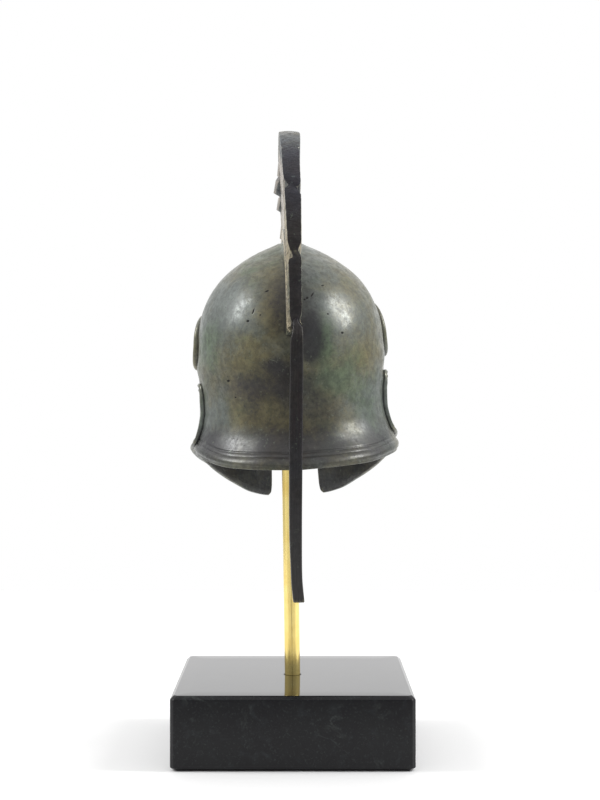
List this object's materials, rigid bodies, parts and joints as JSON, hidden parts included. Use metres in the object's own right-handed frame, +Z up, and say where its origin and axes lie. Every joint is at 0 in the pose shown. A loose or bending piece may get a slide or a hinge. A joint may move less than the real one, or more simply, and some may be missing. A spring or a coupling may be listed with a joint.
{
  "type": "miniature bronze helmet on a rod and block stand",
  "caption": "Greek bronze helmet with open face, cheek guards and tall crest with a long tail, held on a round rod over a square stone block.",
  "frame": {"origin": "middle of the block's underside, on the table", "axes": "+Z up along the rod; -Y the way the helmet's face looks, +Y its nape and the crest's tail; +X the helmet's own left"},
  "size_m": [0.08, 0.105, 0.2134],
  "materials": {
    "bronze": "dark green-brown patina, waxed satin, rubbed bright on high edges",
    "polished_brass": "polished",
    "marble": "dark green-black marble, polished top, honed sides"
  },
  "bodies": {
    "root": {"helmet_bowl": "bronze", "crest": "bronze", "brass_rod": "polished_brass", "marble_block": "marble"}
  },
  "joints": []
}
